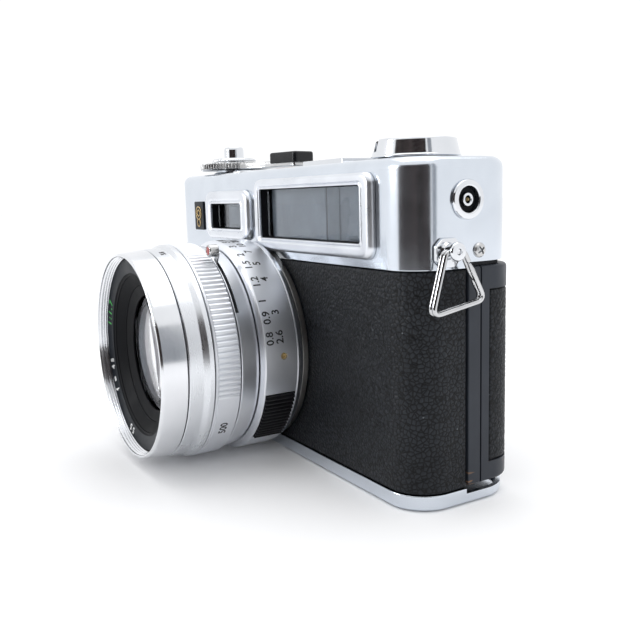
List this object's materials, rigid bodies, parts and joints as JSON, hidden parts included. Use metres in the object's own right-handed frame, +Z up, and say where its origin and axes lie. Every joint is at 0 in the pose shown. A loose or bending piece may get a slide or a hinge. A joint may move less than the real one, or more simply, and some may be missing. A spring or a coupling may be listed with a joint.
{
  "type": "rangefinder camera",
  "caption": "Fixed-lens 35 mm rangefinder camera: box body with chromed top and base, leatherette, finder windows, focusing lens with leaf shutter, hinged back and folding rewind crank.",
  "frame": {"origin": "on the ground, at the middle of the camera's bounding box seen from above", "axes": "+X along the body to the rewind end, +Y from the lens to the back door, +Z up; the lens looks along -Y"},
  "size_m": [0.1496, 0.0772, 0.0913],
  "materials": {
    "satin_chrome": "satin plated",
    "chrome": "bright plated",
    "satin_aluminium": "satin anodised",
    "steel": "turned, nickel plated",
    "leatherette": "pebbled, semi-matt",
    "blue_black_paint": "semi-matt",
    "black_plastic": "moulded",
    "matt_black": "matt",
    "glass": "coated",
    "brass": "bare"
  },
  "bodies": {
    "camera_body": {"body_casting": "matt_black", "front_leatherette": "leatherette", "top_cover": "satin_chrome", "base_plate": "satin_chrome", "viewfinder_frame": "chrome", "viewfinder_window": "glass", "rangefinder_frame": "chrome", "rangefinder_window": "glass", "badge_plate": "black_plastic", "finder_tunnel": "matt_black", "beam_splitter": "glass", "eyepiece_frame": "black_plastic", "eyepiece_lens": "glass", "hot_shoe": "chrome", "hot_shoe_contact": "black_plastic", "exposure_lamps": "black_plastic", "frame_counter_window": "glass", "flash_socket": "chrome", "flash_socket_contact": "brass", "strap_lug_left": "chrome", "strap_lug_right": "chrome", "door_hinge_pin": "steel", "tripod_socket": "steel", "battery": "brass", "lens_mount": "satin_aluminium"},
    "rangefinder_mirror": {"rangefinder_mirror": "chrome"},
    "battery_check_button": {"battery_check_button": "black_plastic"},
    "frame_counter_dial": {"frame_counter_dial": "matt_black"},
    "strap_ring_left": {"strap_ring_left": "chrome"},
    "strap_ring_right": {"strap_ring_right": "chrome"},
    "advance_lever": {"advance_lever": "chrome", "advance_lever_tip": "black_plastic"},
    "lock_collar": {"lock_collar": "chrome"},
    "release_button": {"release_button": "chrome"},
    "rewind_lift": {"rewind_sleeve": "steel"},
    "rewind_knob": {"rewind_knob": "chrome", "rewind_shaft": "steel"},
    "rewind_crank": {"rewind_crank": "chrome"},
    "crank_handle": {"crank_handle": "black_plastic"},
    "take_up_spool": {"take_up_spool": "black_plastic"},
    "sprocket": {"sprocket": "steel"},
    "back_door": {"back_door": "blue_black_paint", "door_leatherette": "leatherette"},
    "pressure_plate": {"pressure_plate": "steel"},
    "door_latch": {"door_latch": "steel"},
    "battery_cap": {"battery_cap": "steel"},
    "rewind_release_button": {"rewind_release_button": "steel"},
    "focus_ring": {"focus_ring": "satin_aluminium", "focus_grip": "black_plastic"},
    "lens_unit": {"shutter_housing": "satin_aluminium", "front_bezel": "chrome", "name_ring": "matt_black", "front_element": "glass", "rear_element": "glass"},
    "aperture_ring": {"aperture_ring": "satin_aluminium"},
    "selector_ring": {"selector_ring": "satin_aluminium"},
    "self_timer_lever": {"self_timer_lever": "chrome"},
    "shutter_blade_1": {"shutter_blade_1": "matt_black"},
    "shutter_blade_2": {"shutter_blade_2": "matt_black"},
    "shutter_blade_3": {"shutter_blade_3": "matt_black"}
  },
  "joints": [
    {"name": "focus_turn", "type": "hinge", "parent": "camera_body", "child": "focus_ring", "pos_m": [-0.0055, -0.0066, 0.0313], "axis": [0, -1, 0], "range_deg": [0, 80]},
    {"name": "lens_extension", "type": "slide", "parent": "camera_body", "child": "lens_unit", "axis": [0, -1, 0], "range_m": [0, 0.0028]},
    {"name": "rangefinder_mirror_turn", "type": "hinge", "parent": "camera_body", "child": "rangefinder_mirror", "pos_m": [-0.024, 0.0174, 0.068], "axis": [0, 0, 1], "range_deg": [0, 2.4]},
    {"name": "aperture_turn", "type": "hinge", "parent": "lens_unit", "child": "aperture_ring", "pos_m": [-0.0055, -0.0066, 0.0313], "axis": [0, -1, 0], "range_deg": [-30, 30]},
    {"name": "selector_turn", "type": "hinge", "parent": "lens_unit", "child": "selector_ring", "pos_m": [-0.0055, -0.0066, 0.0313], "axis": [0, -1, 0], "range_deg": [-15, 15]},
    {"name": "self_timer_turn", "type": "hinge", "parent": "lens_unit", "child": "self_timer_lever", "pos_m": [-0.0055, -0.0066, 0.0313], "axis": [0, 1, 0], "range_deg": [0, 34]},
    {"name": "shutter_blade_1_turn", "type": "hinge", "parent": "lens_unit", "child": "shutter_blade_1", "pos_m": [0.0109, -0.0146, 0.0313], "axis": [0, 1, 0], "range_deg": [0, 55], "stiffness_Nm_per_rad": 0.0002, "springref_deg": -11.46},
    {"name": "shutter_blade_2_turn", "type": "hinge", "parent": "lens_unit", "child": "shutter_blade_2", "pos_m": [-0.0137, -0.0146, 0.0455], "axis": [0, 1, 0], "range_deg": [0, 55]},
    {"name": "shutter_blade_3_turn", "type": "hinge", "parent": "lens_unit", "child": "shutter_blade_3", "pos_m": [-0.0137, -0.0146, 0.0171], "axis": [0, 1, 0], "range_deg": [0, 55]},
    {"name": "advance_turn", "type": "hinge", "parent": "camera_body", "child": "advance_lever", "pos_m": [-0.0471, 0.0164, 0.084], "axis": [0, 0, 1], "range_deg": [0, 180], "stiffness_Nm_per_rad": 0.006, "springref_deg": -17.19},
    {"name": "sprocket_turn", "type": "hinge", "parent": "camera_body", "child": "sprocket", "pos_m": [-0.031, 0.024, 0.03], "axis": [0, 0, 1], "range_deg": [0, 360]},
    {"name": "take_up_turn", "type": "hinge", "parent": "camera_body", "child": "take_up_spool", "pos_m": [-0.05, 0.0179, 0.03], "axis": [0, 0, 1], "range_deg": [0, 270]},
    {"name": "frame_counter_turn", "type": "hinge", "parent": "camera_body", "child": "frame_counter_dial", "pos_m": [-0.025, 0.0108, 0.0797], "axis": [0, 0, 1], "range_deg": [0, 10]},
    {"name": "lock_collar_turn", "type": "hinge", "parent": "camera_body", "child": "lock_collar", "pos_m": [-0.0471, 0.0164, 0.084], "axis": [0, 0, 1], "range_deg": [0, 40]},
    {"name": "release_press", "type": "slide", "parent": "camera_body", "child": "release_button", "axis": [0, 0, -1], "range_m": [0, 0.0022], "stiffness_N_per_m": 300, "springref_m": -0.001},
    {"name": "rewind_pull", "type": "slide", "parent": "camera_body", "child": "rewind_lift", "axis": [0, 0, 1], "range_m": [0, 0.005]},
    {"name": "door_latch_slide", "type": "slide", "parent": "camera_body", "child": "door_latch", "axis": [0, 0, 1], "range_m": [0, 0.0025]},
    {"name": "rewind_turn", "type": "hinge", "parent": "rewind_lift", "child": "rewind_knob", "pos_m": [0.0525, 0.0182, 0.08], "axis": [0, 0, 1], "continuous": true},
    {"name": "crank_fold", "type": "hinge", "parent": "rewind_knob", "child": "rewind_crank", "pos_m": [0.0556, 0.02357, 0.086], "axis": [-0.866, 0.5, 0], "range_deg": [0, 175]},
    {"name": "crank_handle_spin", "type": "hinge", "parent": "rewind_crank", "child": "crank_handle", "pos_m": [0.0496, 0.01318, 0.084], "axis": [0, 0, 1], "continuous": true},
    {"name": "back_door_swing", "type": "hinge", "parent": "camera_body", "child": "back_door", "pos_m": [-0.0692, 0.0214, 0.03], "axis": [0, 0, 1], "range_deg": [0, 100]},
    {"name": "pressure_plate_press", "type": "slide", "parent": "back_door", "child": "pressure_plate", "axis": [0, 1, 0], "range_m": [0, 0.0009], "stiffness_N_per_m": 200, "springref_m": -0.001},
    {"name": "strap_ring_left_swing", "type": "hinge", "parent": "camera_body", "child": "strap_ring_left", "pos_m": [-0.0728, 0.0126, 0.061], "axis": [0, 1, 0], "range_deg": [-3, 100]},
    {"name": "strap_ring_right_swing", "type": "hinge", "parent": "camera_body", "child": "strap_ring_right", "pos_m": [0.0728, 0.0126, 0.061], "axis": [0, -1, 0], "range_deg": [-3, 100]},
    {"name": "battery_cap_turn", "type": "hinge", "parent": "camera_body", "child": "battery_cap", "pos_m": [0.0262, 0.014, 0.002], "axis": [0, 0, -1], "range_deg": [0, 90]},
    {"name": "rewind_release_press", "type": "slide", "parent": "camera_body", "child": "rewind_release_button", "axis": [0, 0, 1], "range_m": [0, 0.0012], "stiffness_N_per_m": 200, "springref_m": -0.001},
    {"name": "battery_check_press", "type": "slide", "parent": "camera_body", "child": "battery_check_button", "axis": [0, -1, 0], "range_m": [0, 0.0012], "stiffness_N_per_m": 200, "springref_m": -0.001}
  ],
  "couplings": [
    {"joint": "lens_extension", "follows": "focus_turn", "m_per_rad": 0.001934},
    {"joint": "rangefinder_mirror_turn", "follows": "focus_turn", "ratio": 0.0285},
    {"joint": "shutter_blade_2_turn", "follows": "shutter_blade_1_turn", "ratio": 1},
    {"joint": "shutter_blade_3_turn", "follows": "shutter_blade_1_turn", "ratio": 1},
    {"joint": "sprocket_turn", "follows": "advance_turn", "ratio": 2},
    {"joint": "take_up_turn", "follows": "advance_turn", "ratio": 1.5},
    {"joint": "frame_counter_turn", "follows": "advance_turn", "ratio": 0.0555},
    {"joint": "door_latch_slide", "follows": "rewind_pull", "ratio": 0.5}
  ]
}
